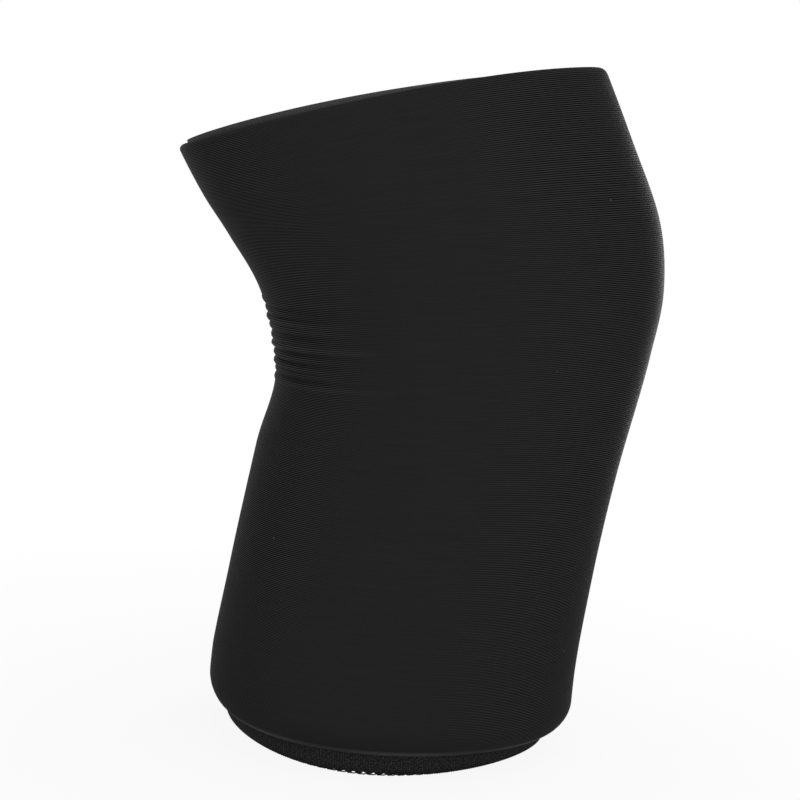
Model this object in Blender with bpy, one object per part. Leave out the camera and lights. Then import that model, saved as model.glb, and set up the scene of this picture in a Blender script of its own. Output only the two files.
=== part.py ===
"""Pull-on knit knee brace, standing on its lower opening with the knee a little bent.

Metres. +Z is up, +X is the front where the kneecap lies, and the floor is z = 0.
"""
import math

import bmesh
import bpy
import numpy as np

# Side outline: back and front of each level as (x, z), and the width across the leg
FLOOR = {"back": (-0.0664, 0.0), "front": (0.0688, 0.0), "width": 0.1310}
HEM = {"back": (-0.0667, 0.0229), "front": (0.0689, 0.0239), "width": 0.1300}
CALF = {"back": (-0.0624, 0.0604), "front": (0.0719, 0.0614), "width": 0.1265}
SHIN = {"back": (-0.0555, 0.1054), "front": (0.0781, 0.1049), "width": 0.1235}
CREASE = {"back": (-0.0504, 0.1374), "front": (0.0866, 0.1494), "width": 0.1250}
KNEECAP = {"back": (-0.0580, 0.1629), "front": (0.0893, 0.1734), "width": 0.1290}
THIGH = {"back": (-0.0702, 0.1817), "front": (0.0850, 0.1981), "width": 0.1345}
UPPER = {"back": (-0.0812, 0.1956), "front": (0.0724, 0.2260), "width": 0.1380}
RIM = {"back": (-0.0901, 0.2122), "front": (0.0602, 0.2518), "width": 0.1400}

# How much fuller each level is behind its middle than in front of it
EGG = 0.17

# Knit wall and the stretch of it that bends
WALL = 0.0024
KNEE_LOW = 0.0894
KNEE_HIGH = 0.1944
KNEE_AXIS = (0.0050, 0.0, 0.1514)

# Folds in the hollow of the knee
FOLD_COUNT = 10
FOLD_PITCH = 0.0034
FOLD_START = 0.1349
FOLD_RIDGE = 0.00050
FOLD_VALLEY = 0.00045
FOLD_HALF_ANGLE = 60.0

# Lower end: a rolled-in lip over an elastic band that meets the floor
LIP_FRONT = 0.0060
LIP_BACK = 0.0105
LIP_SIDE = 0.0080
LIP_RADIUS = 0.0130
LIP_ANGLE = 63.0
LIP_EDGE = 0.0018
LIP_SHARE_FRONT = 1.12
LIP_SHARE_BACK = 0.70
LOWER_BAND_HEIGHT = 0.0200

# Upper end: a small rounded rim, with the band just showing above it at the back
RIM_DEPTH = 0.0036
RIM_ROUND = 0.0026
RIM_EDGE = 0.0008
RIM_SIDE_LIFT = 0.0030
UPPER_BAND_HEIGHT = 0.0210
BAND_PEEK_BACK = 0.0027
BAND_PEEK_FRONT = -0.0005

# Bands, grip beads and threads
BAND = 0.0015
BEAD_RADIUS = 0.0008
BEAD_WAVE = 0.0030
BEAD_WAVES = 18
THREAD_RADIUS = 0.00035
STITCHES_PER_FACET = 2
STITCH_HALF = 0.0014
STITCH_INSET = 0.0040
EDGE_RADIUS = 0.0005
EDGE_INSET = 0.0012

# Clearance between pieces, and how the hems run out into the wall
GAP = 0.0003
HEM_BEYOND_BAND = 0.0015
HEM_FADE = 0.0700
FLARE = 0.0140
COLUMNS = 36

LIP_RISE = LIP_RADIUS * math.sin(math.radians(LIP_ANGLE))
LIP_DEPTH = LIP_RADIUS * (1.0 - math.cos(math.radians(LIP_ANGLE))) + LIP_EDGE
LEVELS = (FLOOR, HEM, CALF, SHIN, CREASE, KNEECAP, THIGH, UPPER, RIM)
TURN = np.arange(COLUMNS) * 2.0 * math.pi / COLUMNS
SIZES = np.array([[*level["back"], *level["front"], level["width"]] for level in LEVELS])
STEPS = np.diff(SIZES, axis=0)
RUNS = (np.hypot(STEPS[:, 0], STEPS[:, 1]) + np.hypot(STEPS[:, 2], STEPS[:, 3])) / 2.0
HEIGHTS = np.concatenate([[0.0], np.cumsum(RUNS)])
SLOPES = np.gradient(SIZES, HEIGHTS, axis=0, edge_order=2)
REACH = float(HEIGHTS[-1])


def level_at(up):
    """Back, front and width, and their slopes, at a distance up the wall from the floor."""
    up = min(max(up, 0.0), REACH)
    i = min(int(np.searchsorted(HEIGHTS, up, side="right")) - 1, len(LEVELS) - 2)
    run = HEIGHTS[i + 1] - HEIGHTS[i]
    t = (up - HEIGHTS[i]) / run
    low, high = SIZES[i], SIZES[i + 1]
    pull_low, pull_high = SLOPES[i] * run, SLOPES[i + 1] * run
    bend = low * (1 + 2 * t) * (1 - t) ** 2 + high * t * t * (3 - 2 * t)
    bend = bend + pull_low * t * (1 - t) ** 2 - pull_high * t * t * (1 - t)
    slope = (high - low) * 6 * t * (1 - t) / run
    slope = slope + (pull_low * (1 - t) * (1 - 3 * t) + pull_high * t * (3 * t - 2)) / run
    return bend, slope


def smooth(share):
    """A soft step from 0 to 1."""
    share = np.clip(share, 0.0, 1.0)
    return share * share * (3.0 - 2.0 * share)


def ring(up, inset=0.0, lift=0.0):
    """One row of points round the leg, moved in from the outer face and up along the wall."""
    size, slope = level_at(up)
    back, front = size[0:2], size[2:4]
    middle, half = (front + back) / 2.0, (front - back) / 2.0
    shrink = 1.0 - inset / np.hypot(*half)
    along, across = np.cos(TURN), np.sin(TURN)
    rise_back, rise_front = slope[0:2], slope[2:4]
    rise_x = (rise_front[0] + rise_back[0]) / 2.0 + (rise_front[0] - rise_back[0]) / 2.0 * along
    rise_z = (rise_front[1] + rise_back[1]) / 2.0 + (rise_front[1] - rise_back[1]) / 2.0 * along
    x = middle[0] + half[0] * shrink * along + rise_x * lift
    y = (size[4] / 2.0 - inset + slope[4] / 2.0 * lift) * across * (1.0 - EGG * along)
    z = middle[1] + half[1] * shrink * along + rise_z * lift
    return np.column_stack([x, y, z])


def lip_lift():
    """How far the lower lip stands off the floor: most at the sides, least at the front."""
    ends = (LIP_FRONT + LIP_BACK) / 2.0 + (LIP_FRONT - LIP_BACK) / 2.0 * np.cos(TURN)
    return ends + (LIP_SIDE - ends) * np.sin(TURN) ** 2


def lip_in(inset):
    """How far the lip and its band turn in: more at the front than at the back."""
    middle = (LIP_SHARE_FRONT + LIP_SHARE_BACK) / 2.0
    return inset * (middle + (LIP_SHARE_FRONT - LIP_SHARE_BACK) / 2.0 * np.cos(TURN))


def knit(up, inset=0.0, more=0.0):
    """A row of the knit wall: its courses lift with the lip below and with the rim above."""
    lift = more + lip_lift() * smooth(1.0 - up / HEM_FADE)
    lift = lift + RIM_SIDE_LIFT * np.sin(TURN) ** 2 * smooth(1.0 - (REACH - up) / HEM_FADE)
    return ring(up, inset, lift)


def folded(up, swell):
    """A row of the knit wall that swells or dips in the hollow of the knee."""
    from_back = np.abs(np.degrees(TURN) - 180.0)
    return knit(up, -swell * smooth(1.0 - from_back / FOLD_HALF_ANGLE))


def on_facets(row, places):
    """Points along a row of facets, at places counted in columns."""
    first = np.floor(places).astype(int)
    share = (places - first)[:, None]
    return row[first % COLUMNS] * (1.0 - share) + row[(first + 1) % COLUMNS] * share


def between(low, high, count):
    """Evenly spaced heights, both ends included."""
    return [float(value) for value in np.linspace(low, high, count)]


def new_material(name, colour, roughness):
    material = bpy.data.materials.new(name)
    material.use_nodes = True
    shader = material.node_tree.nodes["Principled BSDF"]
    shader.inputs["Base Color"].default_value = (*colour, 1.0)
    shader.inputs["Roughness"].default_value = roughness
    return material


def add_object(name, data, material, origin, collection):
    data.materials.append(material)
    thing = bpy.data.objects.new(name, data)
    thing.location = origin
    collection.objects.link(thing)
    return thing


def add_shell(name, rows, material, origin, collection):
    """A closed wall through rows of points that run up one face and down the other."""
    body = bmesh.new()
    loops = [[body.verts.new(point - np.array(origin)) for point in row] for row in rows]
    for i, loop in enumerate(loops):
        after = loops[(i + 1) % len(loops)]
        for k in range(COLUMNS):
            n = (k + 1) % COLUMNS
            body.faces.new((loop[k], loop[n], after[n], after[k]))
    bmesh.ops.recalc_face_normals(body, faces=body.faces)
    data = bpy.data.meshes.new(name)
    body.to_mesh(data)
    body.free()
    return add_object(name, data, material, origin, collection)


def add_thread(name, points, radius, sides, material, origin, collection):
    """A round thread or bead along a closed path."""
    data = bpy.data.curves.new(name, "CURVE")
    data.dimensions = "3D"
    data.bevel_depth = radius
    data.bevel_resolution = sides // 2 - 2
    data.render_resolution_u = 0
    spline = data.splines.new("POLY")
    spline.points.add(len(points) - 1)
    for place, point in zip(spline.points, points - np.array(origin)):
        place.co = (*point, 1.0)
    spline.use_cyclic_u = True
    return add_object(name, data, material, origin, collection)


def lower_heights():
    """Rows of the lower band, which the turned hem outside it repeats."""
    return between(0.0, LOWER_BAND_HEIGHT, 3)


def upper_heights():
    """Rows of the upper band, which the turned hem outside it repeats."""
    return between(REACH - UPPER_BAND_HEIGHT, REACH, 4)


def calf_rows():
    """The wall below the knee: outer face down, round the lip, and up the turned hem."""
    top = KNEE_LOW - GAP / 2.0
    rows = [knit(up) for up in between(top, LIP_RISE, 7)]
    for lean in between(0.0, math.radians(LIP_ANGLE), 6)[1:]:
        in_by = lip_in(LIP_RADIUS * (1.0 - math.cos(lean)))
        rows.append(knit(LIP_RISE - LIP_RADIUS * math.sin(lean), in_by))
    rows.append(knit(LIP_EDGE, lip_in(LIP_DEPTH)))
    rows.extend(knit(up, lip_in(LIP_DEPTH)) for up in lower_heights()[1:])
    turn = LOWER_BAND_HEIGHT + HEM_BEYOND_BAND
    rows.append(knit(turn, lip_in(LIP_DEPTH)))
    rows.append(knit(turn + FLARE, WALL))
    rows.extend(knit(up, WALL) for up in between(turn + 2.0 * FLARE, top, 4))
    return rows


def knee_rows():
    """The wall that bends: folds at the back of its outer face, and a plain inner face."""
    low, high = KNEE_LOW + GAP / 2.0, KNEE_HIGH - GAP / 2.0
    end = FOLD_START + FOLD_COUNT * FOLD_PITCH
    rows = [knit(up) for up in between(low, FOLD_START, 4)[:-1]]
    for i in range(2 * FOLD_COUNT + 1):
        swell = FOLD_RIDGE if i % 2 else -FOLD_VALLEY
        rows.append(folded(FOLD_START + i * FOLD_PITCH / 2.0, swell))
    rows.extend(knit(up) for up in between(end, high, 4)[1:])
    rows.extend(knit(up, WALL) for up in between(high, low, 7))
    return rows


def thigh_rows():
    """The wall above the knee: outer face up, over the rim, and down the turned hem."""
    low = KNEE_HIGH + GAP / 2.0
    rows = [knit(up) for up in between(low, REACH - RIM_ROUND, 5)]
    for angle in (30.0, 60.0):
        lean = math.radians(angle)
        in_by = RIM_ROUND * (1.0 - math.cos(lean))
        rows.append(knit(REACH - RIM_ROUND * (1.0 - math.sin(lean)), in_by))
    rows.append(knit(REACH, RIM_ROUND))
    rows.append(knit(REACH - RIM_EDGE, RIM_DEPTH))
    rows.extend(knit(up, RIM_DEPTH) for up in reversed(upper_heights()[:-1]))
    turn = REACH - UPPER_BAND_HEIGHT - HEM_BEYOND_BAND
    rows.append(knit(turn, RIM_DEPTH))
    rows.append(knit(turn - FLARE, WALL))
    rows.append(knit(low, WALL))
    return rows


def lower_band_rows():
    """An elastic band inside the lip, with a flat rim on the floor."""
    outer = lip_in(LIP_DEPTH) + GAP
    rows = [ring(up, outer) for up in lower_heights()]
    rows.extend(ring(up, outer + BAND) for up in reversed(lower_heights()))
    return rows


def upper_band_row(up, inset):
    """A row of the upper band, which stands higher at the back than at the front."""
    tilt = (BAND_PEEK_FRONT + BAND_PEEK_BACK) / 2.0
    tilt = tilt + (BAND_PEEK_FRONT - BAND_PEEK_BACK) / 2.0 * np.cos(TURN)
    return knit(up, inset, tilt * (1.0 - (REACH - up) / UPPER_BAND_HEIGHT))


def upper_band_rows():
    """An elastic band inside the rim, turned with the wall's own lean."""
    outer = RIM_DEPTH + GAP
    rows = [upper_band_row(up, outer) for up in upper_heights()]
    rows.extend(upper_band_row(up, outer + BAND) for up in reversed(upper_heights()))
    return rows


def on_band(row_at, heights, up, places):
    """Points on the flat facets of a band, at one height."""
    i = min(int(np.searchsorted(heights, up, side="right")) - 1, len(heights) - 2)
    share = (up - heights[i]) / (heights[i + 1] - heights[i])
    row = row_at(heights[i]) * (1.0 - share) + row_at(heights[i + 1]) * share
    return on_facets(row, places)


def zigzag(row_at, heights, middle):
    """A stitch path that swings up and down the inner face of a band."""
    places = (np.arange(COLUMNS * STITCHES_PER_FACET) + 0.25) / STITCHES_PER_FACET
    low = on_band(row_at, heights, middle - STITCH_HALF, places)
    high = on_band(row_at, heights, middle + STITCH_HALF, places + 0.5 / STITCHES_PER_FACET)
    return np.stack([low, high], axis=1).reshape(-1, 3)


def wave(row_at, heights, middle):
    """A wavy path round the inner face of a band."""
    places = np.arange(3 * COLUMNS) / 3.0
    swing = BEAD_WAVE * np.sin(places * BEAD_WAVES * 2.0 * math.pi / COLUMNS)
    return np.vstack([on_band(row_at, heights, middle + s, places[k:k + 1]) for k, s in enumerate(swing)])


def edge(row_at, heights, up):
    """A plain path along the free edge of a band."""
    return on_band(row_at, heights, up, np.arange(COLUMNS))


def build():
    for thing in list(bpy.data.objects):
        bpy.data.objects.remove(thing, do_unlink=True)
    parts = bpy.data.collections.new("knee_brace")
    bpy.context.scene.collection.children.link(parts)
    still, moving = (0.0, 0.0, 0.0), KNEE_AXIS

    fabric = new_material("calf_knit", (0.012, 0.012, 0.013), 0.75)
    add_shell("calf_sleeve", calf_rows(), fabric, still, parts)
    fabric = new_material("knee_knit", (0.014, 0.014, 0.015), 0.75)
    add_shell("knee_section", knee_rows(), fabric, still, parts)
    fabric = new_material("thigh_knit", (0.012, 0.012, 0.013), 0.75)
    add_shell("thigh_sleeve", thigh_rows(), fabric, moving, parts)

    elastic = new_material("lower_elastic", (0.009, 0.009, 0.010), 0.80)
    add_shell("lower_grip_band", lower_band_rows(), elastic, still, parts)
    elastic = new_material("upper_elastic", (0.020, 0.020, 0.021), 0.80)
    add_shell("upper_grip_band", upper_band_rows(), elastic, moving, parts)

    inside = lip_in(LIP_DEPTH) + 2.0 * GAP + BAND
    heights = lower_heights()
    silicone = new_material("lower_silicone", (0.020, 0.020, 0.022), 0.35)
    path = wave(lambda up: ring(up, inside + BEAD_RADIUS), heights, LOWER_BAND_HEIGHT / 2.0)
    add_thread("lower_grip_bead", path, BEAD_RADIUS, 6, silicone, still, parts)
    polyester = new_material("lower_thread", (0.030, 0.030, 0.031), 0.60)
    path = zigzag(lambda up: ring(up, inside + THREAD_RADIUS), heights, heights[-1] - STITCH_INSET)
    add_thread("lower_hem_stitch", path, THREAD_RADIUS, 4, polyester, still, parts)
    cover = new_material("lower_edge", (0.025, 0.025, 0.026), 0.65)
    path = edge(lambda up: ring(up, inside + EDGE_RADIUS), heights, EDGE_INSET)
    add_thread("lower_edge_thread", path, EDGE_RADIUS, 6, cover, still, parts)

    inside = RIM_DEPTH + 2.0 * GAP + BAND
    heights = upper_heights()
    silicone = new_material("upper_silicone", (0.020, 0.020, 0.022), 0.35)
    middle = REACH - UPPER_BAND_HEIGHT / 2.0
    path = wave(lambda up: upper_band_row(up, inside + BEAD_RADIUS), heights, middle)
    add_thread("upper_grip_bead", path, BEAD_RADIUS, 6, silicone, moving, parts)
    polyester = new_material("upper_thread", (0.030, 0.030, 0.031), 0.60)
    path = zigzag(lambda up: upper_band_row(up, inside + THREAD_RADIUS), heights, heights[0] + STITCH_INSET)
    add_thread("upper_hem_stitch", path, THREAD_RADIUS, 4, polyester, moving, parts)
    cover = new_material("upper_edge", (0.025, 0.025, 0.026), 0.65)
    path = edge(lambda up: upper_band_row(up, inside + EDGE_RADIUS), heights, REACH - EDGE_INSET)
    add_thread("upper_edge_thread", path, EDGE_RADIUS, 6, cover, moving, parts)


build()
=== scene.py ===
"""Looks of a pull-on knit knee brace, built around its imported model. Metres, +Z up, +X the front."""
import math

import bpy
import numpy as np
from mathutils import Matrix, Vector


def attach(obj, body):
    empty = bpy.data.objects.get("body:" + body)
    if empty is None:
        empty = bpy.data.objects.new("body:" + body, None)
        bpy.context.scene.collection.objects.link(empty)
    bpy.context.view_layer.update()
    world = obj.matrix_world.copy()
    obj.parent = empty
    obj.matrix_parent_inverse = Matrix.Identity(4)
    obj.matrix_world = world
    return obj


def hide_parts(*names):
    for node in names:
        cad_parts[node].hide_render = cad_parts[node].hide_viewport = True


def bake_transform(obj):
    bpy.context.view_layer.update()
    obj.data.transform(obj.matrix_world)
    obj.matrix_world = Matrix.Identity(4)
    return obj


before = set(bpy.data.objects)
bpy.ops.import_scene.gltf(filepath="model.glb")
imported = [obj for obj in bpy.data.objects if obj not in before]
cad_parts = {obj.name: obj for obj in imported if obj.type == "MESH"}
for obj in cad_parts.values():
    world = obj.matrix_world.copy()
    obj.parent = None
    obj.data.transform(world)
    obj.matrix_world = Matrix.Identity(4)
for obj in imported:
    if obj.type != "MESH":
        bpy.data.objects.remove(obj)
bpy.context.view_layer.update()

# Side outline of the sleeve, level by level: back x, back z, front x, front z, width across the leg
OUTLINE = np.array([
    (-0.0664, 0.0000, 0.0688, 0.0000, 0.1310),
    (-0.0671, 0.0229, 0.0685, 0.0239, 0.1300),
    (-0.0627, 0.0604, 0.0717, 0.0614, 0.1265),
    (-0.0559, 0.1054, 0.0778, 0.1049, 0.1235),
    (-0.0507, 0.1374, 0.0862, 0.1494, 0.1250),
    (-0.0582, 0.1629, 0.0889, 0.1734, 0.1290),
    (-0.0707, 0.1817, 0.0852, 0.1981, 0.1345),
    (-0.0810, 0.1956, 0.0728, 0.2260, 0.1380),
    (-0.0911, 0.2122, 0.0604, 0.2518, 0.1400),
])
# The cross-section is egg-shaped, with the narrow end to the front
EGG = 0.17
# Thickness of the knit, and the gap between it and the bands
WALL = 0.0024
GAP = 0.0003
# Distances up the wall between which the knee length lies
KNEE_LOW = 0.0894
KNEE_HIGH = 0.1944

# Lower lip: its height round the leg, its curl and its small turned edge
LIP_FRONT = 0.0060
LIP_BACK = 0.0105
LIP_SIDE = 0.0080
LIP_TILT = -0.0022
LIP_RADIUS = 0.0130
LIP_ANGLE = math.radians(63.0)
LIP_EDGE = 0.0018
LIP_SHARE_FRONT = 1.12
LIP_SHARE_BACK = 0.70
# The lip's edge is paler in patches round the leg: partly yarn paled by rubbing, partly a painted highlight
# along the turned edge
WEAR_AND_HIGHLIGHT_LEAST = 0.50
WEAR_AND_HIGHLIGHT_PATCHES = 7.0
WEAR_AND_HIGHLIGHT_TURN = math.radians(84.0)
WEAR_AND_HIGHLIGHT_ABOVE_CURL = 0.0046
WEAR_AND_HIGHLIGHT_FADE = 0.0026

# Upper rim, and the turned hems inside both ends
RIM_DEPTH = 0.0036
RIM_ROUND = 0.0026
RIM_SIDE_LIFT = 0.0031
RIM_TILT = 0.0014
RIM_FADE = 0.0025
HEM_FADE = 0.0700
HEM_BEYOND_BAND = 0.0015
FLARE = 0.0140
INNER_START = 0.0016
INNER_STOP = 0.0014

# Elastic bands, and how far the upper one stands above the rim
BAND = 0.0015
LOWER_BAND_HEIGHT = 0.0200
LOWER_CORNER = 0.00035
LOWER_EDGE = 0.0003
HEM_BOW_FRONT = 0.0032
HEM_BOW_BACK = 0.0068
UPPER_BAND_HEIGHT = 0.0210
UPPER_CORNER = 0.00070
PEEK_BACK = 0.0014
PEEK_FRONT = -0.0005
PEEK_SIDE = 0.0010
PEEK_LEAN = -0.0021
# The upper band's free edge is paler: a painted highlight where its top edge catches the light from above
EDGE_HIGHLIGHT_SHARE = 0.8
EDGE_HIGHLIGHT_REACH = 1.6
EDGE_HIGHLIGHT_FADE = 0.0018
# Rows up the face of a band, and the steps round its corners
BAND_ROWS = 9
CORNER_BENDS = np.radians((0.0, 45.0, 90.0))

# Nicks in the lower band's edge at one place of the near side, one to each loop of the edge thread
EDGE_LOOPS = 105
NICK = 0.0010
NICK_FADE = 0.0040
NICK_TURN = math.radians(-97.9)
NICK_HALF_ANGLE = 14.0

# Silicone beads, hem stitches and edge threads
BEAD_RADIUS = 0.0008
BEAD_WAVE = 0.0030
BEAD_WAVES = 18
BEAD_OFF_BAND = 0.0002
STITCHES = 144
STITCH_FROM_EDGE = 0.0040
STITCH_SWING = 0.0014
STITCH_STAND = -0.00025
STITCH_RADIUS = 0.0003
STITCH_OFF_BAND = 0.0001
LOWER_THREAD_UP = 0.0004
LOWER_THREAD_SWING = 0.00012
LOWER_THREAD_STAND = 0.0002
LOWER_THREAD_RADIUS = 0.00022
UPPER_LOOPS = 200
UPPER_THREAD_DOWN = 0.0021
UPPER_THREAD_SWING = 0.0006
UPPER_THREAD_STAND = -0.0002
UPPER_THREAD_RADIUS = 0.00024
# Points along each wave or loop and round its section, and points of the path that carries them
BEAD_POINTS = 24
BEAD_SIDES = 12
THREAD_POINTS = 14
LOWER_THREAD_POINTS = 16
THREAD_SIDES = 6
PATH_POINTS = 384
# A small step by which the directions at a thread are found
NUDGE = 0.0001

# Folds in the hollow of the knee
FOLD_COUNT = 10
FOLD_PITCH = 0.0031
FOLD_START = 0.1371
FOLD_RIDGE = 0.00065
FOLD_VALLEY = 0.00050
FOLD_HALF_ANGLE = 66.0
FOLD_SEED = 7
# Least and most of a fold's height, reach, shift in degrees and sag
FOLD_LEAST = (0.75, 0.75, -7.0, -0.3)
FOLD_MOST = (1.20, 1.15, 7.0, 0.3)
# The first two and last two folds are lower, and a fold keeps its height to a third of its reach
FOLD_END_HEIGHT = 0.55
FOLD_END_GAIN = 0.25
FOLD_FADE = 1.5
INNER_FOLDS = 0.6

# The knit's courses run about 0.65 mm apart round the leg, and its wales about 1 mm apart up it
COURSE = 0.00065
ROWS_PER_COURSE = 4
COLUMNS = 96
WALES = 432
RIB_RELIEF = 0.00013
INNER_RIBS = 0.35
EDGE_FLATTENING = 0.6
SHARP_EDGE = math.radians(62.0)
# Share of their height that the ribs keep at the sides
RIB_FLAT = 0.08
# Where the ribs start to rise toward the front and the back, and over how long, as shares of the way
RIB_FRONT_START = 0.05
RIB_FRONT_RISE = 0.70
RIB_BACK_START = 0.36
RIB_BACK_RISE = 0.42

# The tape's upright ribs, about 0.6 mm apart on a real elastic, are drawn about 1 mm apart to show
TAPE_RIBS = 400
COLUMNS_PER_TAPE_RIB = 4
TAPE_RELIEF = 0.00016
TAPE_INNER_LOSS = 0.4
TAPE_LOOP = 0.0009

# Camera of the photograph
PICTURE_PIXELS = 800.0
FOCAL_PIXELS = 2036.3
SENSOR = 36.0
CAMERA_PITCH = math.radians(7.404)
CAMERA_ROLL = math.radians(4.309)
CAMERA_DISTANCE = 0.75206
CAMERA_AIM = (-0.004135, 0.0, 0.12522)
CLIP_START = 0.05

# Studio: lamps as name, place, size and watts
LAMP_AIM = (0.0, 0.0, 0.13)
LAMPS = (
    ("top_box", (0.0, 0.05, 1.10), (0.6, 0.6), 2.0),
    ("front_box", (0.15, -1.40, 0.35), (1.6, 1.6), 11.3),
    ("left_strip", (-0.70, 0.95, 0.20), (0.50, 0.25), 0.3),
    ("right_strip", (0.34, 0.46, 0.17), (0.20, 0.32), 1.1),
)
ROOM_LIGHT = 0.45
FLOOR_HALF = 4.0
SHADOW_NEAR = 0.08
SHADOW_FAR = 0.40
PAPER_GLOW = 0.90

FULL_TURN = 2.0 * math.pi
STEPS = np.diff(OUTLINE, axis=0)
RUNS = (np.hypot(STEPS[:, 0], STEPS[:, 1]) + np.hypot(STEPS[:, 2], STEPS[:, 3])) / 2.0
HEIGHTS = np.concatenate([[0.0], np.cumsum(RUNS)])
SLOPES = np.gradient(OUTLINE, HEIGHTS, axis=0, edge_order=2)
REACH = float(HEIGHTS[-1])
LIP_RISE = LIP_RADIUS * math.sin(LIP_ANGLE)
LIP_DEPTH = LIP_RADIUS * (1.0 - math.cos(LIP_ANGLE)) + LIP_EDGE
LIP_CURL = LIP_RISE - LIP_RADIUS * LIP_ANGLE
TURN = np.arange(COLUMNS) * FULL_TURN / COLUMNS
ROW = COURSE / ROWS_PER_COURSE
LOW_CUT = round(KNEE_LOW / COURSE) * COURSE
HIGH_CUT = round(KNEE_HIGH / COURSE) * COURSE


def smooth(share):
    """A soft step from 0 to 1."""
    share = np.clip(share, 0.0, 1.0)
    return share * share * (3.0 - 2.0 * share)


def wave(angle):
    """A wave between 0 and 1 that is highest at an angle of 0."""
    return 0.5 + 0.5 * np.cos(angle)


def degrees_from(turn, place):
    """Degrees round the leg from a place, up to half a turn either way."""
    return np.degrees(np.angle(np.exp(1j * (turn - place))))


def front_to_back(front, back, turn):
    """A size that goes over from its front value to its back value round the leg."""
    return (front + back) / 2.0 + (front - back) / 2.0 * np.cos(turn)


def wall(up, turn, inset=0.0, lift=0.0):
    """Points at distances up the wall and round the leg, moved in from its outer face and up along it."""
    up, turn, inset, lift = np.broadcast_arrays(up, turn, inset, lift)
    lift = lift + np.minimum(up, 0.0) + np.maximum(up - REACH, 0.0)
    up = np.clip(up, 0.0, REACH)
    i = np.clip(np.searchsorted(HEIGHTS, up, side="right") - 1, 0, len(HEIGHTS) - 2)
    run = (HEIGHTS[i + 1] - HEIGHTS[i])[..., None]
    t = (up - HEIGHTS[i])[..., None] / run
    low, high = OUTLINE[i], OUTLINE[i + 1]
    pull_low, pull_high = SLOPES[i] * run, SLOPES[i + 1] * run
    # A cubic curve through the levels, and its slope
    size = low * (1 + 2 * t) * (1 - t) ** 2 + high * t * t * (3 - 2 * t)
    size = size + pull_low * t * (1 - t) ** 2 - pull_high * t * t * (1 - t)
    slope = (high - low) * 6 * t * (1 - t) / run
    slope = slope + (pull_low * (1 - t) * (1 - 3 * t) + pull_high * t * (3 * t - 2)) / run
    along, across = np.cos(turn), np.sin(turn)
    middle, half = (size[..., 2:4] + size[..., 0:2]) / 2.0, (size[..., 2:4] - size[..., 0:2]) / 2.0
    shrink = 1.0 - inset / np.hypot(half[..., 0], half[..., 1])
    rise = (slope[..., 2:4] + slope[..., 0:2]) / 2.0
    rise = rise + (slope[..., 2:4] - slope[..., 0:2]) / 2.0 * along[..., None]
    side = middle + half * (shrink * along)[..., None] + rise * lift[..., None]
    y = (size[..., 4] / 2.0 - inset + slope[..., 4] / 2.0 * lift) * across * (1.0 - EGG * along)
    return np.stack([side[..., 0], y, side[..., 1]], axis=-1)


def hem_lift(up, turn):
    """How far the courses lift with the lip below and with the rim above."""
    ends = front_to_back(LIP_FRONT, LIP_BACK, turn)
    lip = ends + (LIP_SIDE + LIP_TILT * np.cos(turn) - ends) * np.sin(turn) ** 2
    rim = (RIM_SIDE_LIFT + RIM_TILT * np.cos(turn)) * np.sin(turn) ** 2
    return lip * smooth(1.0 - up / HEM_FADE) + rim * smooth(1.0 - (REACH - up) / HEM_FADE)


def knit(up, turn, inset=0.0, more=0.0):
    """A point of the sleeve, lifted with its hems."""
    return wall(up, turn, inset, hem_lift(up, turn) + more)


def lip_in(inset, turn):
    """How far the lip and its band turn in: more at the front than at the back."""
    return inset * front_to_back(LIP_SHARE_FRONT, LIP_SHARE_BACK, turn)


def cuff(up, turn, inset):
    """A point of the lower band, whose rim bows up a little to the front and the back."""
    bow = np.where(np.cos(turn) > 0.0, HEM_BOW_FRONT, HEM_BOW_BACK) * np.cos(turn) ** 2
    bow = bow * (1.0 - up / LOWER_BAND_HEIGHT)
    return wall(up, turn, lip_in(LIP_DEPTH, turn) + GAP + inset, bow)


def nicked_cuff(up, turn, inset):
    """The same, with small nicks in the rim at one place, above the edge thread."""
    there = np.exp(-(degrees_from(turn, NICK_TURN) / NICK_HALF_ANGLE) ** 2)
    nick = NICK * there * wave(EDGE_LOOPS * (turn - NICK_TURN))
    return cuff(up + nick * smooth(1.0 - up / NICK_FADE), turn, inset)


def tape(up, turn, inset):
    """A point of the upper band, which stands highest above the rim to both sides of the back."""
    peek = front_to_back(PEEK_FRONT, PEEK_BACK, turn)
    peek = peek + (PEEK_SIDE + PEEK_LEAN * np.cos(turn)) * np.sin(turn) ** 2
    return knit(up, turn, RIM_DEPTH + GAP + inset, peek * (1.0 - (REACH - up) / UPPER_BAND_HEIGHT))


def lip_profile(path):
    """Height and depth along the outer face, round the lip and over its turned edge, and the path's end."""
    small = LIP_EDGE / (1.0 + math.cos(LIP_ANGLE))
    lean = np.clip((LIP_RISE - path) / LIP_RADIUS, 0.0, LIP_ANGLE)
    curl = LIP_ANGLE + np.clip((LIP_CURL - path) / small, 0.0, math.pi - LIP_ANGLE)
    up = np.maximum(path, LIP_RISE) - LIP_RADIUS * np.sin(lean)
    up = up + small * (math.sin(LIP_ANGLE) - np.sin(curl))
    inset = LIP_RADIUS * (1.0 - np.cos(lean)) + small * (math.cos(LIP_ANGLE) - np.cos(curl))
    return up, inset, LIP_CURL - small * (math.pi - LIP_ANGLE)


def rim_profile(path):
    """Height and depth along the outer face, over the rounded rim and its inner edge, and the path's end."""
    small = RIM_DEPTH - RIM_ROUND
    start = REACH - RIM_ROUND
    quarter = math.pi / 2.0
    lean = np.clip((path - start) / RIM_ROUND, 0.0, quarter)
    curl = np.clip((path - start - RIM_ROUND * quarter) / small, 0.0, quarter)
    up = np.minimum(path, start) + RIM_ROUND * np.sin(lean) - small * (1.0 - np.cos(curl))
    inset = RIM_ROUND * (1.0 - np.cos(lean)) + small * np.sin(curl)
    return up, inset, start + (RIM_ROUND + small) * quarter


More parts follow.
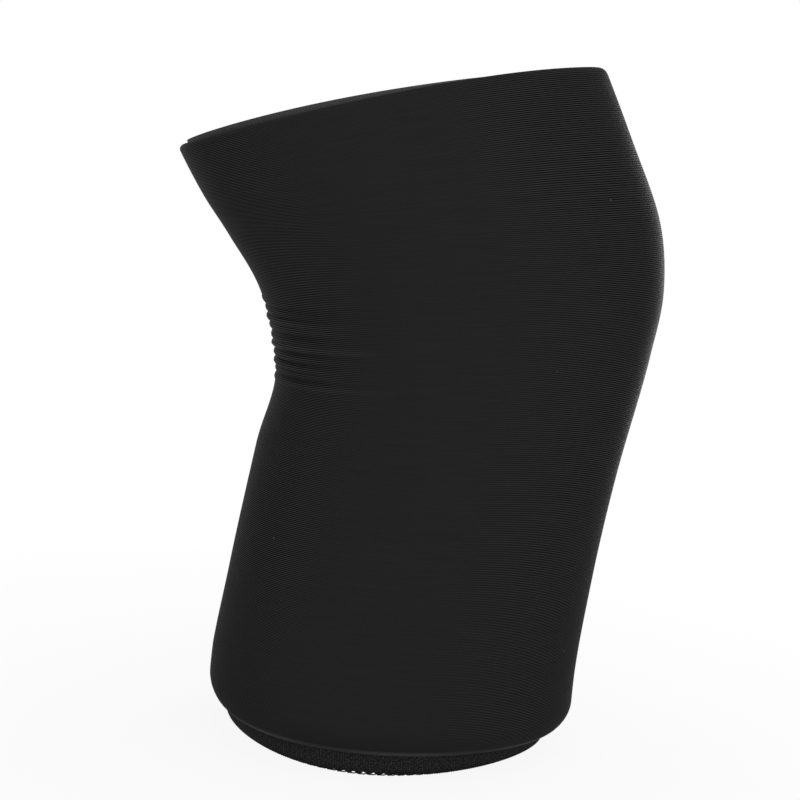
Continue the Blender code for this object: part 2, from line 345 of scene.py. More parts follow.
def rib_rise_and_painted_light(turn):
    """How far the ribs stand up and show their painted shade and highlight: fully at the front and back,
    hardly at the sides, pulled flat there.
    """
    ahead = np.cos(turn)
    front, back = (ahead - RIB_FRONT_START) / RIB_FRONT_RISE, (-ahead - RIB_BACK_START) / RIB_BACK_RISE
    return RIB_FLAT + (1.0 - RIB_FLAT) * smooth(np.maximum(front, back))


def worn_and_highlighted(turn):
    """How pale the lip's edge is, from rubbing and from a painted highlight: more and less by turns round
    the leg.
    """
    return WEAR_AND_HIGHLIGHT_LEAST + (1.0 - WEAR_AND_HIGHLIGHT_LEAST) * wave(WEAR_AND_HIGHLIGHT_PATCHES * (turn + WEAR_AND_HIGHLIGHT_TURN))


def round_the_back(angle, reach):
    """Full behind the knee, fading out toward an angle to both sides of it."""
    return smooth(FOLD_FADE - FOLD_FADE * np.abs(angle) / reach)


def folds(up, turn):
    """Rounded folds behind the knee, each with its own height, reach round the leg, shift and sag."""
    chance = np.random.default_rng(FOLD_SEED)
    from_back = degrees_from(turn, math.pi)
    swell = np.zeros(np.broadcast(up, turn).shape)
    for k in range(FOLD_COUNT):
        high, reach, shift, sag = chance.uniform(FOLD_LEAST, FOLD_MOST)
        ends = min(1.0, FOLD_END_HEIGHT + FOLD_END_GAIN * min(k, FOLD_COUNT - 1 - k))
        fade = round_the_back(from_back - shift, FOLD_HALF_ANGLE * reach)
        middle = FOLD_START + (k + 0.5) * FOLD_PITCH + sag * FOLD_PITCH * np.sin(np.radians(from_back) * 2.0)
        crown = np.cos(np.clip((up - middle) / FOLD_PITCH, -0.5, 0.5) * math.pi)
        swell = np.maximum(swell, (FOLD_RIDGE + FOLD_VALLEY) * high * ends * fade * crown)
    stop = FOLD_START + FOLD_COUNT * FOLD_PITCH
    among = smooth((up - FOLD_START) / FOLD_PITCH) * smooth((stop - up) / FOLD_PITCH)
    return swell - FOLD_VALLEY * among * round_the_back(from_back, FOLD_HALF_ANGLE)


def colour(code):
    """An sRGB hex value as linear red, green, blue and alpha."""
    parts = [int(code[i:i + 2], 16) / 255.0 for i in (0, 2, 4)]
    return (*[p / 12.92 if p <= 0.04045 else ((p + 0.055) / 1.055) ** 2.4 for p in parts], 1.0)


def add(tree, kind, settings=None, inputs=None):
    """Adds one node, with its settings, and its inputs as values or as what they link from."""
    made = tree.nodes.new(kind)
    for name, value in (settings or {}).items():
        setattr(made, name, value)
    for name, value in (inputs or {}).items():
        if isinstance(value, bpy.types.Node):
            value = value.outputs[0]
        if isinstance(value, bpy.types.NodeSocket):
            tree.links.new(value, made.inputs[name])
        else:
            made.inputs[name].default_value = value
    return made


def new_finish(name, sockets):
    """A material with one principled shader, whose even values are set on its own sockets."""
    made = bpy.data.materials.new(name)
    made.use_nodes = True
    tree = made.node_tree
    shader = tree.nodes["Principled BSDF"]
    for socket, value in sockets.items():
        shader.inputs[socket].default_value = value
    return made, tree, shader


def nylon_rib_knit():
    """Black nylon rib knit, dyed in the yarn, with painted shade in the hollows and painted highlights on
    the crests: hardly any gloss, stray lint.
    """
    made, tree, shader = new_finish("nylon_rib_knit", {"IOR": 1.53, "Specular IOR Level": 0.003})
    uv = add(tree, "ShaderNodeUVMap", {"uv_map": "knit"})
    relief = add(tree, "ShaderNodeAttribute", {"attribute_name": "relief"})
    stand = add(tree, "ShaderNodeAttribute", {"attribute_name": "depth"})
    edge = add(tree, "ShaderNodeAttribute", {"attribute_name": "edge"})
    fold = add(tree, "ShaderNodeAttribute", {"attribute_name": "fold"})
    # Yarn a little darker or lighter from course to course, in streaks about 20 mm long and 0.7 mm high
    streak = add(tree, "ShaderNodeMapping", {}, {"Vector": uv, "Scale": (0.05, 0.9, 1.0)})
    yarn = add(tree, "ShaderNodeTexNoise", {"noise_dimensions": "2D"}, {
        "Vector": streak, "Scale": 1.0, "Detail": 3.0,
    })
    tone = add(tree, "ShaderNodeMapRange", {}, {
        "Value": yarn.outputs["Fac"], "From Min": 0.3, "From Max": 0.7, "To Min": 0.95, "To Max": 1.05,
    })
    # Painted shade in the hollows and a painted highlight on the crests where the ribs stand up, the mean of
    # both where they lie flat
    mean = 0.30
    crest = add(tree, "ShaderNodeMath", {"operation": "DIVIDE"}, {
        0: relief.outputs["Fac"], 1: stand.outputs["Fac"],
    })
    narrow = add(tree, "ShaderNodeMath", {"operation": "POWER"}, {0: crest, 1: 2.0})
    from_mean = add(tree, "ShaderNodeMath", {"operation": "SUBTRACT"}, {0: narrow, 1: mean})
    height = add(tree, "ShaderNodeMath", {"operation": "MULTIPLY_ADD"}, {
        0: from_mean, 1: stand.outputs["Fac"], 2: mean,
    })
    rib = add(tree, "ShaderNodeMix", {"data_type": "RGBA"}, {
        0: height, 6: colour("0b0b0c"), 7: colour("454546"),
    })
    # The lip's edge paler: yarn paled by rubbing, with a painted highlight along the turned edge
    rubbed_and_highlighted = add(tree, "ShaderNodeMix", {"data_type": "RGBA"}, {
        0: edge.outputs["Fac"], 6: rib.outputs[2], 7: colour("4a4a4c"),
    })
    # Less light gets into the creases behind the knee than onto the folds between them
    crease = add(tree, "ShaderNodeMapRange", {}, {
        "Value": fold.outputs["Fac"], "From Min": -1.0, "To Min": 0.60, "To Max": 1.30,
    })
    shade = add(tree, "ShaderNodeMath", {"operation": "MULTIPLY"}, {0: tone, 1: crease})
    toned = add(tree, "ShaderNodeVectorMath", {"operation": "SCALE"}, {0: rubbed_and_highlighted.outputs[2], "Scale": shade})
    # Lint: one point in each cell of 14 mm, which shows as a speck of up to 0.6 mm if it is on the surface
    place = add(tree, "ShaderNodeTexCoord")
    speck = add(tree, "ShaderNodeTexVoronoi", {"feature": "F1"}, {
        "Vector": place.outputs["Object"], "Scale": 70.0,
    })
    near = add(tree, "ShaderNodeMath", {"operation": "LESS_THAN"}, {0: speck.outputs["Distance"], 1: 0.02})
    lint = add(tree, "ShaderNodeMix", {"data_type": "RGBA"}, {
        0: near, 6: toned.outputs[0], 7: colour("5a5a58"),
    })
    tree.links.new(lint.outputs[2], shader.inputs["Base Color"])
    # V-shaped loops of each wale, about 1 mm wide
    parts = add(tree, "ShaderNodeSeparateXYZ", {}, {0: uv})
    leg = add(tree, "ShaderNodeMath", {"operation": "PINGPONG"}, {0: parts.outputs["X"], 1: 0.5})
    slant = add(tree, "ShaderNodeMath", {"operation": "MULTIPLY_ADD"}, {
        0: leg, 1: 0.9, 2: parts.outputs["Y"],
    })
    turns = add(tree, "ShaderNodeMath", {"operation": "MULTIPLY"}, {0: slant, 1: FULL_TURN})
    loop = add(tree, "ShaderNodeMath", {"operation": "SINE"}, {0: turns})
    bump = add(tree, "ShaderNodeBump", {}, {"Strength": 0.10, "Distance": 0.0001, "Height": loop})
    tree.links.new(bump.outputs[0], shader.inputs["Normal"])
    # The crests are smoother than the hollows
    rough = add(tree, "ShaderNodeMapRange", {}, {
        "Value": relief.outputs["Fac"], "To Min": 0.60, "To Max": 0.36,
    })
    tree.links.new(rough.outputs[0], shader.inputs["Roughness"])
    return made


def nylon_knit_back():
    """The back of the same knit: matt, with rows of small loops and a softer, greyer black."""
    made, tree, shader = new_finish("nylon_knit_back", {
        "IOR": 1.53, "Specular IOR Level": 0.15, "Roughness": 0.85, "Sheen Weight": 0.05,
        "Sheen Roughness": 0.6,
    })
    uv = add(tree, "ShaderNodeUVMap", {"uv_map": "knit"})
    # Raised loops set like a chequer, two to each wale of 1 mm and course of 0.65 mm
    parts = add(tree, "ShaderNodeSeparateXYZ", {}, {0: uv})
    wale = add(tree, "ShaderNodeMath", {"operation": "MULTIPLY"}, {0: parts.outputs["X"], 1: FULL_TURN})
    row = add(tree, "ShaderNodeMath", {"operation": "MULTIPLY"}, {0: parts.outputs["Y"], 1: FULL_TURN})
    side = add(tree, "ShaderNodeMath", {"operation": "SINE"}, {0: wale})
    height = add(tree, "ShaderNodeMath", {"operation": "SINE"}, {0: row})
    loop = add(tree, "ShaderNodeMath", {"operation": "MULTIPLY"}, {0: side, 1: height})
    bump = add(tree, "ShaderNodeBump", {}, {"Strength": 0.5, "Distance": 0.0002, "Height": loop})
    tree.links.new(bump.outputs[0], shader.inputs["Normal"])
    # Painted shade between the loops, lighter on their tops
    shade = add(tree, "ShaderNodeMapRange", {}, {"Value": loop, "From Min": -1.0})
    tint = add(tree, "ShaderNodeMix", {"data_type": "RGBA"}, {
        0: shade, 6: colour("131314"), 7: colour("242425"),
    })
    tree.links.new(tint.outputs[2], shader.inputs["Base Color"])
    return made


def knitted_elastic():
    """Covered-rubber knitted elastic: dull upright ribs of yarn, painted shade in the gaps and a painted
    highlight along the binding at the free edge.
    """
    made, tree, shader = new_finish("knitted_elastic", {
        "IOR": 1.50, "Specular IOR Level": 0.05, "Roughness": 0.70,
    })
    uv = add(tree, "ShaderNodeUVMap", {"uv_map": "knit"})
    relief = add(tree, "ShaderNodeAttribute", {"attribute_name": "relief"})
    edge = add(tree, "ShaderNodeAttribute", {"attribute_name": "edge"})
    # Loops of yarn about 0.6 mm across, some of them sunk between the others
    grain = add(tree, "ShaderNodeTexNoise", {"noise_dimensions": "2D"}, {
        "Vector": uv, "Scale": 1.6, "Detail": 2.0,
    })
    bite = add(tree, "ShaderNodeMapRange", {}, {
        "Value": grain.outputs["Fac"], "From Min": 0.42, "From Max": 0.68,
    })
    # Painted shade: darker in the gaps between the ribs and on the sunk loops, lighter on the crests
    yarn = add(tree, "ShaderNodeMapRange", {}, {"Value": relief.outputs["Fac"], "To Min": 0.35})
    lit = add(tree, "ShaderNodeMath", {"operation": "MULTIPLY"}, {0: yarn, 1: bite})
    tint = add(tree, "ShaderNodeMix", {"data_type": "RGBA"}, {
        0: lit, 6: colour("171718"), 7: colour("404041"),
    })
    # A painted highlight along the free edge
    painted_edge_highlight = add(tree, "ShaderNodeMix", {"data_type": "RGBA"}, {
        0: edge.outputs["Fac"], 6: tint.outputs[2], 7: colour("58585a"),
    })
    tree.links.new(painted_edge_highlight.outputs[2], shader.inputs["Base Color"])
    bump = add(tree, "ShaderNodeBump", {}, {"Strength": 0.6, "Distance": 0.0002, "Height": bite})
    tree.links.new(bump.outputs[0], shader.inputs["Normal"])
    return made


def silicone_rubber():
    """Black silicone laid on as a wet bead: smooth, half glossy, with slow ripples along it."""
    made, tree, shader = new_finish("silicone_rubber", {
        "IOR": 1.41, "Specular IOR Level": 0.5, "Roughness": 0.32,
    })
    # Ripples about 4 mm long
    place = add(tree, "ShaderNodeTexCoord")
    ripple = add(tree, "ShaderNodeTexNoise", {}, {
        "Vector": place.outputs["Object"], "Scale": 260.0, "Detail": 2.0,
    })
    tint = add(tree, "ShaderNodeMix", {"data_type": "RGBA"}, {
        0: ripple.outputs["Fac"], 6: colour("101012"), 7: colour("1c1c1f"),
    })
    tree.links.new(tint.outputs[2], shader.inputs["Base Color"])
    bump = add(tree, "ShaderNodeBump", {}, {
        "Strength": 0.3, "Distance": 0.0004, "Height": ripple.outputs["Fac"],
    })
    tree.links.new(bump.outputs[0], shader.inputs["Normal"])
    return made


def polyester_thread():
    """Twisted polyester sewing thread: fine slanting plies with a slight shine, in a soft black."""
    made, tree, shader = new_finish("polyester_thread", {
        "IOR": 1.58, "Specular IOR Level": 0.35, "Roughness": 0.50,
    })
    along = add(tree, "ShaderNodeAttribute", {"attribute_name": "along"})
    around = add(tree, "ShaderNodeAttribute", {"attribute_name": "around"})
    # Two plies, with one twist in each 0.9 mm of thread
    twist = add(tree, "ShaderNodeMath", {"operation": "MULTIPLY_ADD"}, {
        0: along.outputs["Fac"], 1: 1100.0, 2: around.outputs["Fac"],
    })
    turns = add(tree, "ShaderNodeMath", {"operation": "MULTIPLY"}, {0: twist, 1: 2.0 * FULL_TURN})
    ply = add(tree, "ShaderNodeMath", {"operation": "SINE"}, {0: turns})
    # Painted shade in the grooves between the plies, lighter on their ridges
    shade = add(tree, "ShaderNodeMapRange", {}, {"Value": ply, "From Min": -1.0})
    tint = add(tree, "ShaderNodeMix", {"data_type": "RGBA"}, {
        0: shade, 6: colour("131314"), 7: colour("323233"),
    })
    tree.links.new(tint.outputs[2], shader.inputs["Base Color"])
    bump = add(tree, "ShaderNodeBump", {}, {"Strength": 0.6, "Distance": 0.00008, "Height": ply})
    tree.links.new(bump.outputs[0], shader.inputs["Normal"])
    return made


def new_tree(name, sizes):
    """A geometry tree with named inputs, and the sockets that give them."""
    tree = bpy.data.node_groups.new(name, "GeometryNodeTree")
    tree.interface.new_socket("Geometry", in_out="OUTPUT", socket_type="NodeSocketGeometry")
    tree.interface.new_socket("Geometry", in_out="INPUT", socket_type="NodeSocketGeometry")
    for label, kind in sizes.items():
        tree.interface.new_socket(label, in_out="INPUT", socket_type="NodeSocket" + kind)
    return tree, add(tree, "NodeGroupInput").outputs


def rib_tree():
    """Raises one rib in each course of a wall, along the wall's own normals."""
    tree, given = new_tree("raised_ribs", {
        "Relief": "Float", "Face finish": "Material", "Back finish": "Material",
    })
    course = add(tree, "GeometryNodeInputNamedAttribute", {"data_type": "FLOAT"}, {"Name": "course"})
    depth = add(tree, "GeometryNodeInputNamedAttribute", {"data_type": "FLOAT"}, {"Name": "depth"})
    inside = add(tree, "GeometryNodeInputNamedAttribute", {"data_type": "BOOLEAN"}, {"Name": "inside"})
    normal = add(tree, "GeometryNodeInputNormal")
    phase = add(tree, "ShaderNodeMath", {"operation": "MULTIPLY"}, {0: course, 1: FULL_TURN})
    dip = add(tree, "ShaderNodeMath", {"operation": "COSINE"}, {0: phase})
    crest = add(tree, "ShaderNodeMath", {"operation": "MULTIPLY_ADD"}, {0: dip, 1: -0.5, 2: 0.5})
    height = add(tree, "ShaderNodeMath", {"operation": "MULTIPLY"}, {0: crest, 1: depth})
    raised = add(tree, "ShaderNodeMath", {"operation": "MULTIPLY"}, {0: height, 1: given["Relief"]})
    outward = add(tree, "ShaderNodeVectorMath", {"operation": "SCALE"}, {0: normal, "Scale": raised})
    kept = add(tree, "GeometryNodeStoreNamedAttribute", {"data_type": "FLOAT", "domain": "POINT"}, {
        "Geometry": given["Geometry"], "Name": "relief", "Value": height,
    })
    moved = add(tree, "GeometryNodeSetPosition", {}, {"Geometry": kept, "Offset": outward})
    shaded = add(tree, "GeometryNodeSetShadeSmooth", {}, {"Geometry": moved})
    real = add(tree, "GeometryNodeRealizeInstances", {}, {"Geometry": shaded})
    faced = add(tree, "GeometryNodeSetMaterial", {}, {"Geometry": real, "Material": given["Face finish"]})
    backed = add(tree, "GeometryNodeSetMaterial", {}, {
        "Geometry": faced, "Selection": inside, "Material": given["Back finish"],
    })
    add(tree, "NodeGroupOutput", {}, {0: backed})
    return tree


def thread_tree():
    """Winds a round thread about a closed path: it swings up and down, and stands in and out, as it goes."""
    tree, given = new_tree("wound_thread", {
        "Turns": "Float", "Swing": "Float", "Stand": "Float", "Beats": "Float", "Radius": "Float",
        "Points": "Int", "Sides": "Int", "Finish": "Material",
    })
    path = add(tree, "GeometryNodeMeshToCurve", {}, {"Mesh": given["Geometry"]})
    line = add(tree, "GeometryNodeResampleCurve", {}, {"Curve": path, "Count": given["Points"]})
    place = add(tree, "GeometryNodeSplineParameter").outputs
    turned = add(tree, "ShaderNodeMath", {"operation": "MULTIPLY"}, {0: place["Factor"], 1: given["Turns"]})
    phase = add(tree, "ShaderNodeMath", {"operation": "MULTIPLY"}, {0: turned, 1: FULL_TURN})
    beat = add(tree, "ShaderNodeMath", {"operation": "MULTIPLY"}, {0: phase, 1: given["Beats"]})
    climb = add(tree, "ShaderNodeMath", {"operation": "SINE"}, {0: phase})
    lean = add(tree, "ShaderNodeMath", {"operation": "COSINE"}, {0: beat})
    high = add(tree, "ShaderNodeMath", {"operation": "MULTIPLY"}, {0: climb, 1: given["Swing"]})
    far = add(tree, "ShaderNodeMath", {"operation": "MULTIPLY"}, {0: lean, 1: given["Stand"]})
    rise = add(tree, "GeometryNodeInputNamedAttribute", {"data_type": "FLOAT_VECTOR"}, {"Name": "rise"})
    out = add(tree, "GeometryNodeInputNamedAttribute", {"data_type": "FLOAT_VECTOR"}, {"Name": "out"})
    upward = add(tree, "ShaderNodeVectorMath", {"operation": "SCALE"}, {0: rise, "Scale": high})
    outward = add(tree, "ShaderNodeVectorMath", {"operation": "SCALE"}, {0: out, "Scale": far})
    both = add(tree, "ShaderNodeVectorMath", {"operation": "ADD"}, {0: upward, 1: outward})
    swung = add(tree, "GeometryNodeSetPosition", {}, {"Geometry": line, "Offset": both})
    # The thread's finish reads how far along and how far round each point is
    marked = add(tree, "GeometryNodeStoreNamedAttribute", {"data_type": "FLOAT", "domain": "POINT"}, {
        "Geometry": swung, "Name": "along", "Value": place["Length"],
    })
    circle = add(tree, "GeometryNodeCurvePrimitiveCircle", {"mode": "RADIUS"}, {
        "Resolution": given["Sides"], "Radius": given["Radius"],
    })
    section = add(tree, "GeometryNodeStoreNamedAttribute", {"data_type": "FLOAT", "domain": "POINT"}, {
        "Geometry": circle, "Name": "around", "Value": place["Factor"],
    })
    solid = add(tree, "GeometryNodeCurveToMesh", {}, {"Curve": marked, "Profile Curve": section})
    shaded = add(tree, "GeometryNodeSetShadeSmooth", {}, {"Geometry": solid})
    real = add(tree, "GeometryNodeRealizeInstances", {}, {"Geometry": shaded})
    done = add(tree, "GeometryNodeSetMaterial", {}, {"Geometry": real, "Material": given["Finish"]})
    add(tree, "NodeGroupOutput", {}, {0: done})
    return tree


def shaped(thing, tree, sizes):
    """Runs a geometry tree on a piece and keeps what it makes as the piece's plain mesh."""
    step = thing.modifiers.new(tree.name, "NODES")
    step.node_group = tree
    for socket in tree.interface.items_tree:
        if socket.in_out == "INPUT" and socket.name in sizes:
            step[socket.identifier] = sizes[socket.name]
    graph = bpy.context.evaluated_depsgraph_get()
    done = thing.evaluated_get(graph)
    made = bpy.data.meshes.new_from_object(done, preserve_all_data_layers=True, depsgraph=graph)
    thing.modifiers.remove(step)
    before = thing.data
    thing.data = made
    bpy.data.meshes.remove(before)
    made.name = thing.name
    return thing


def placed(name, mesh):
    """A mesh as an object of the scene, at the origin."""
    thing = bpy.data.objects.new(name, mesh)
    bpy.context.scene.collection.objects.link(thing)
    return thing


def shell(name, points, marks, inside, level, wale):
    """A closed wall through rows of points that run up its outer face and down its inner face."""
    rows, columns = points.shape[:2]
    row, column = np.meshgrid(np.arange(rows), np.arange(columns), indexing="ij")
    after, beside = (row + 1) % rows, (column + 1) % columns
    below, above = row * columns, after * columns
    corners = np.stack([below + column, below + beside, above + beside, above + column], axis=-1)
    mesh = bpy.data.meshes.new(name)
    mesh.from_pydata(points.reshape(-1, 3), [], corners.reshape(-1, 4))
    for label, values in marks.items():
        layer = mesh.attributes.new(label, "FLOAT", "POINT")
        layer.data.foreach_set("value", np.broadcast_to(values, (rows, columns)).astype(np.float32).ravel())
    layer = mesh.attributes.new("inside", "BOOLEAN", "FACE")
    layer.data.foreach_set("value", np.repeat(inside, columns))
    u = np.stack([column, column + 1, column + 1, column], axis=-1) * wale
    v = np.stack([level[row], level[row], level[after], level[after]], axis=-1)
    layer = mesh.uv_layers.new(name="knit")
    layer.data.foreach_set("uv", np.stack([u, v], axis=-1).astype(np.float32).ravel())
    return placed(name, mesh)


def face(path, up, inset, depth, wear_and_highlight):
    """One face of a length, row by row: path, height, depth in the wall, rib height and the edge's paleness
    from rubbing and a painted highlight.
    """
    rows = len(path)
    inset = np.broadcast_to(inset, (rows, COLUMNS))
    return path, up, inset, np.broadcast_to(depth, rows), np.broadcast_to(wear_and_highlight, rows)


def sleeve(name, outer, inner):
    """A length of the sleeve from its outer and its inner face, with folds and ribs."""
    path, up, inset, depth, wear_and_highlight = [np.concatenate(pair) for pair in zip(outer, inner)]
    outer_rows = len(outer[0])
    swell = folds(up[:, None], TURN)
    swell[outer_rows:] *= INNER_FOLDS
    level = path / COURSE
    marks = {
        "course": level[:, None], "depth": depth[:, None] * rib_rise_and_painted_light(TURN),
        "edge": wear_and_highlight[:, None] * worn_and_highlighted(TURN), "fold": swell / FOLD_RIDGE,
    }
    inside = np.arange(len(up)) >= outer_rows - 1
    made = shell(name, knit(up[:, None], TURN, inset - swell), marks, inside, level, WALES / COLUMNS)
    shaped(made, RIBS, {"Relief": RIB_RELIEF, "Face finish": KNIT, "Back finish": KNIT_BACK})
    made.data.set_sharp_from_angle(angle=SHARP_EDGE)
    return made


def calf_knit():
    """The calf's length, from the curled lip up to the knee."""
    start = lip_profile(np.zeros(1))[2]
    path = LOW_CUT - ROW * np.arange(int((LOW_CUT - start) / ROW), -1, -1)
    up, inset, _ = lip_profile(path)
    wear_and_highlight = smooth((LIP_CURL + WEAR_AND_HIGHLIGHT_ABOVE_CURL - path) / WEAR_AND_HIGHLIGHT_FADE)
    outer = face(path, up, lip_in(inset[:, None], TURN), 1.0 - EDGE_FLATTENING * wear_and_highlight, wear_and_highlight)
    back = np.arange(LOW_CUT, INNER_START, -COURSE / 2.0)
    hem_end = LOWER_BAND_HEIGHT + HEM_BEYOND_BAND
    hem = smooth((hem_end + FLARE - back) / FLARE)[:, None]
    inner = face(back, back, WALL + (lip_in(LIP_DEPTH, TURN) - WALL) * hem, INNER_RIBS, 0.0)
    return sleeve("calf_knit", outer, inner)


def knee_knit():
    """The knee's length, an even wall."""
    path = LOW_CUT + ROW * np.arange(int(round((HIGH_CUT - LOW_CUT) / ROW)) + 1)
    back = path[::-2]
    return sleeve("knee_knit", face(path, path, 0.0, 1.0, 0.0), face(back, back, WALL, INNER_RIBS, 0.0))


def thigh_knit():
    """The thigh's length, from the knee up to the rounded rim."""
    end = rim_profile(np.zeros(1))[2]
    path = HIGH_CUT + ROW * np.arange(int((end - HIGH_CUT) / ROW) + 1)
    up, inset, _ = rim_profile(path)
    over = smooth((path - REACH) / RIM_FADE)
    outer = face(path, up, inset[:, None], 1.0 - EDGE_FLATTENING * over, 0.0)
    back = np.arange(HIGH_CUT, REACH - INNER_STOP, COURSE / 2.0)[::-1]
    hem_start = REACH - UPPER_BAND_HEIGHT - HEM_BEYOND_BAND
    hem = smooth((back - hem_start + FLARE) / FLARE)[:, None]
    inner = face(back, back, WALL + (RIM_DEPTH - WALL) * hem, INNER_RIBS, 0.0)
    return sleeve("thigh_knit", outer, inner)


def band(name, place, low, high, corner, free, pale):
    """A ribbed elastic tape with rounded corners, whose free edge may be paler with a painted highlight."""
    columns = TAPE_RIBS * COLUMNS_PER_TAPE_RIB
    turn = np.arange(columns) * FULL_TURN / columns
    out, back = corner * (1.0 - np.sin(CORNER_BENDS)), corner * (1.0 - np.cos(CORNER_BENDS))
    flat = np.linspace(low + corner, high - corner, BAND_ROWS)[1:-1]
    up = np.concatenate([low + out, flat, high - out[::-1], high - out, flat[::-1], low + out[::-1]])
    inset = np.concatenate([back[::-1], 0.0 * flat, back, BAND - back[::-1], 0.0 * flat + BAND, BAND - back])
    edge = pale * smooth(EDGE_HIGHLIGHT_REACH - np.abs(up - free) / EDGE_HIGHLIGHT_FADE)
    depth = (1.0 - TAPE_INNER_LOSS * inset / BAND) * (1.0 - edge)
    course = np.arange(columns) / COLUMNS_PER_TAPE_RIB
    marks = {"course": course[None, :], "depth": depth[:, None], "edge": edge[:, None]}
    # The two faces take different parts of the yarn's pattern
    level = (up + 2.0 * inset) / TAPE_LOOP
    points = place(up[:, None], turn, inset[:, None])
    made = shell(name, points, marks, np.zeros(len(up), bool), level, 1.0 / COLUMNS_PER_TAPE_RIB)
    return shaped(made, RIBS, {"Relief": TAPE_RELIEF, "Face finish": ELASTIC, "Back finish": ELASTIC})


def wound(name, place, up, inset, sizes):
    """A thread or bead wound about a closed path on a band."""
    turn = np.arange(PATH_POINTS) * FULL_TURN / PATH_POINTS
    points = place(up, turn, inset)
    mesh = bpy.data.meshes.new(name)
    mesh.from_pydata(points, [(k, (k + 1) % PATH_POINTS) for k in range(PATH_POINTS)], [])
    for label, there in (("out", place(up, turn, inset - NUDGE)), ("rise", place(up + NUDGE, turn, inset))):
        way = there - points
        way /= np.linalg.norm(way, axis=1)[:, None]
        layer = mesh.attributes.new(label, "FLOAT_VECTOR", "POINT")
        layer.data.foreach_set("vector", way.astype(np.float32).ravel())
    return shaped(placed(name, mesh), THREADS, sizes)


def softbox(name, place, size, power):
    """A square or oblong studio lamp that faces the middle of the sleeve."""
    lamp = bpy.data.lights.new(name, "AREA")
    lamp.shape = "RECTANGLE"
    lamp.size, lamp.size_y = size
    lamp.energy = power
    thing = bpy.data.objects.new(name, lamp)
    thing.location = place
    thing.rotation_mode = "QUATERNION"
    thing.rotation_quaternion = (Vector(LAMP_AIM) - Vector(place)).to_track_quat("-Z", "Y")
    bpy.context.scene.collection.objects.link(thing)


def seen_rays(tree):
    """One for rays that come from the camera, from gloss or through glass, and zero for the rest."""
    ray = add(tree, "ShaderNodeLightPath").outputs
    seen = add(tree, "ShaderNodeMath", {"operation": "ADD"}, {
        0: ray["Is Camera Ray"], 1: ray["Is Glossy Ray"],
    })
    return add(tree, "ShaderNodeMath", {"operation": "ADD", "use_clamp": True}, {
        0: seen, 1: ray["Is Transmission Ray"],
    })


def paper_floor():
    """White paper, matt: it keeps the shadow near the sleeve and goes over into the white of the room."""
    corners = [(x * FLOOR_HALF, y * FLOOR_HALF, 0.0) for x, y in ((-1, -1), (1, -1), (1, 1), (-1, 1))]
    mesh = bpy.data.meshes.new("floor")
    mesh.from_pydata(corners, [], [(0, 1, 2, 3)])
    floor = placed("floor", mesh)
    paper, tree, shader = new_finish("white_paper", {
        "Base Color": colour("f2f2f2"), "Roughness": 0.9, "Specular IOR Level": 0.1,
    })
    spot = add(tree, "ShaderNodeTexCoord")
    off = add(tree, "ShaderNodeVectorMath", {"operation": "LENGTH"}, {0: spot.outputs["Object"]})
    plain = add(tree, "ShaderNodeMapRange", {"interpolation_type": "SMOOTHSTEP"}, {
        "Value": off.outputs["Value"], "From Min": SHADOW_NEAR, "From Max": SHADOW_FAR,
        "To Min": PAPER_GLOW, "To Max": 1.0,
    })
    share = add(tree, "ShaderNodeMath", {"operation": "MULTIPLY"}, {0: seen_rays(tree), 1: plain})
    glow = add(tree, "ShaderNodeEmission", {}, {"Color": colour("ffffff"), "Strength": 1.0})
    mixed = add(tree, "ShaderNodeMixShader", {}, {0: share, 1: shader.outputs[0], 2: glow})
    tree.links.new(mixed.outputs[0], tree.nodes["Material Output"].inputs["Surface"])
    mesh.materials.append(paper)


def studio():
    """A pale floor in a white room, with soft lamps above, in front and, weaker, behind at each side."""
    paper_floor()
    world = bpy.data.worlds.new("white_room")
    world.use_nodes = True
    bpy.context.scene.world = world
    tree = world.node_tree
    level = add(tree, "ShaderNodeMapRange", {}, {
        "Value": seen_rays(tree), "To Min": ROOM_LIGHT, "To Max": 1.0,
    })
    room = tree.nodes["Background"]
    room.inputs["Color"].default_value = colour("ffffff")
    tree.links.new(level.outputs[0], room.inputs["Strength"])
    for name, place, size, power in LAMPS:
        softbox(name, place, size, power)


def photographer():
    """The camera of the photograph: a little above the sleeve and turned a little on its own axis."""
    ahead = Vector((0.0, math.cos(CAMERA_PITCH), -math.sin(CAMERA_PITCH)))
    across, above = Vector((1.0, 0.0, 0.0)), Vector((0.0, math.sin(CAMERA_PITCH), math.cos(CAMERA_PITCH)))
    right = across * math.cos(CAMERA_ROLL) + above * math.sin(CAMERA_ROLL)
    top = above * math.cos(CAMERA_ROLL) - across * math.sin(CAMERA_ROLL)
    lens = bpy.data.cameras.new("camera")
    lens.sensor_width = SENSOR
    lens.lens = SENSOR * FOCAL_PIXELS / PICTURE_PIXELS
    lens.clip_start = CLIP_START
    thing = bpy.data.objects.new("camera", lens)
    bpy.context.scene.collection.objects.link(thing)
    pose = Matrix((right, top, -ahead)).transposed().to_4x4()
    pose.translation = Vector(CAMERA_AIM) - ahead * CAMERA_DISTANCE
    thing.matrix_world = pose
    bpy.context.scene.camera = thing


bpy.context.scene.view_settings.view_transform = "Standard"
photographer()
studio()

KNIT, KNIT_BACK = nylon_rib_knit(), nylon_knit_back()
ELASTIC, SILICONE, THREAD = knitted_elastic(), silicone_rubber(), polyester_thread()
RIBS, THREADS = rib_tree(), thread_tree()

bead_sizes = {
    "Turns": BEAD_WAVES, "Swing": BEAD_WAVE, "Stand": 0.0, "Beats": 1.0, "Radius": BEAD_RADIUS,
    "Points": BEAD_WAVES * BEAD_POINTS, "Sides": BEAD_SIDES, "Finish": SILICONE,
}
stitch_sizes = {
    "Turns": STITCHES, "Swing": STITCH_SWING, "Stand": STITCH_STAND, "Beats": 2.0, "Radius": STITCH_RADIUS,
    "Points": STITCHES * THREAD_POINTS, "Sides": THREAD_SIDES, "Finish": THREAD,
}

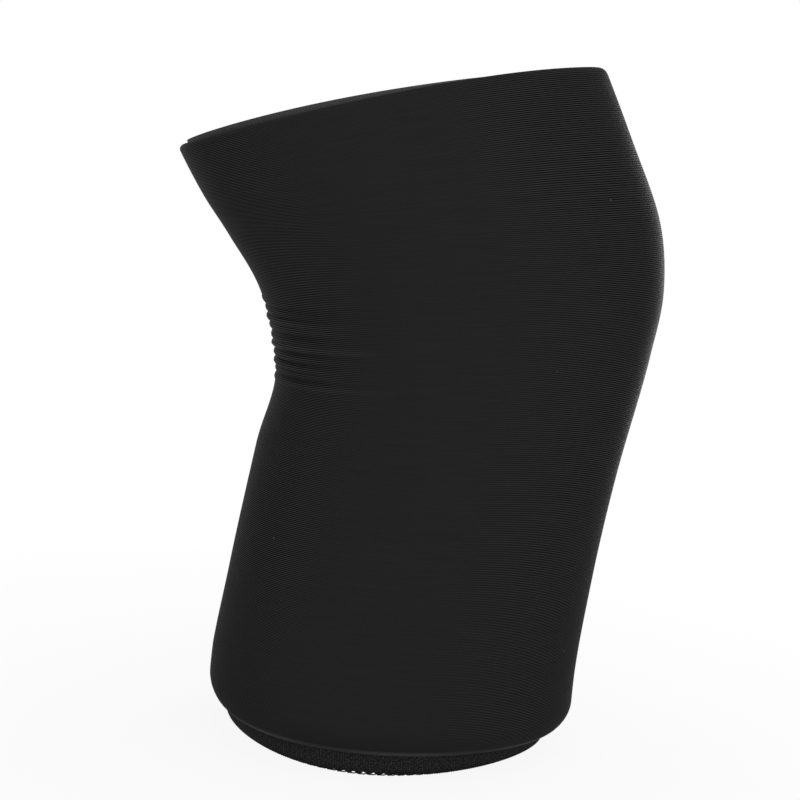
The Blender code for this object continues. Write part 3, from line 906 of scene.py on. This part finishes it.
calf, knee, thigh = calf_knit(), knee_knit(), thigh_knit()

lower_band = band("lower_band", nicked_cuff, LOWER_EDGE, LOWER_BAND_HEIGHT, LOWER_CORNER, 0.0, 0.0)
lower_bead = wound("lower_bead", cuff, LOWER_BAND_HEIGHT / 2.0, BAND + BEAD_OFF_BAND, bead_sizes)
lower_seam = LOWER_BAND_HEIGHT - STITCH_FROM_EDGE
lower_stitch = wound("lower_stitch", cuff, lower_seam, BAND + STITCH_OFF_BAND, stitch_sizes)
lower_loops = wound("lower_loops", cuff, LOWER_THREAD_UP, BAND / 3.0, {
    "Turns": EDGE_LOOPS, "Swing": LOWER_THREAD_SWING, "Stand": LOWER_THREAD_STAND, "Beats": 2.0,
    "Radius": LOWER_THREAD_RADIUS, "Points": EDGE_LOOPS * LOWER_THREAD_POINTS, "Sides": THREAD_SIDES,
    "Finish": THREAD,
})

upper_start = REACH - UPPER_BAND_HEIGHT
upper_band = band("upper_band", tape, upper_start, REACH, UPPER_CORNER, REACH, EDGE_HIGHLIGHT_SHARE)
upper_bead = wound("upper_bead", tape, REACH - UPPER_BAND_HEIGHT / 2.0, BAND + BEAD_OFF_BAND, bead_sizes)
upper_seam = upper_start + STITCH_FROM_EDGE
upper_stitch = wound("upper_stitch", tape, upper_seam, BAND + STITCH_OFF_BAND, stitch_sizes)
upper_loops = wound("upper_loops", tape, REACH - UPPER_THREAD_DOWN, BAND, {
    "Turns": UPPER_LOOPS, "Swing": UPPER_THREAD_SWING, "Stand": UPPER_THREAD_STAND, "Beats": 2.0,
    "Radius": UPPER_THREAD_RADIUS, "Points": UPPER_LOOPS * THREAD_POINTS, "Sides": THREAD_SIDES,
    "Finish": THREAD,
})

for piece, node in ((calf, "calf_sleeve"), (knee, "knee_section"), (thigh, "thigh_sleeve")):
    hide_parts(node)
    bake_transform(piece)
for piece, node, body, slot in (
    (lower_band, "lower_grip_band", "calf", "elastic"),
    (upper_band, "upper_grip_band", "thigh", "elastic"),
    (lower_bead, "lower_grip_bead", "calf", "silicone"),
    (upper_bead, "upper_grip_bead", "thigh", "silicone"),
    (lower_stitch, "lower_hem_stitch", "calf", "thread"),
    (upper_stitch, "upper_hem_stitch", "thigh", "thread"),
    (lower_loops, "lower_edge_thread", "calf", "thread"),
    (upper_loops, "upper_edge_thread", "thigh", "thread"),
):
    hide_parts(node)
    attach(piece, body)
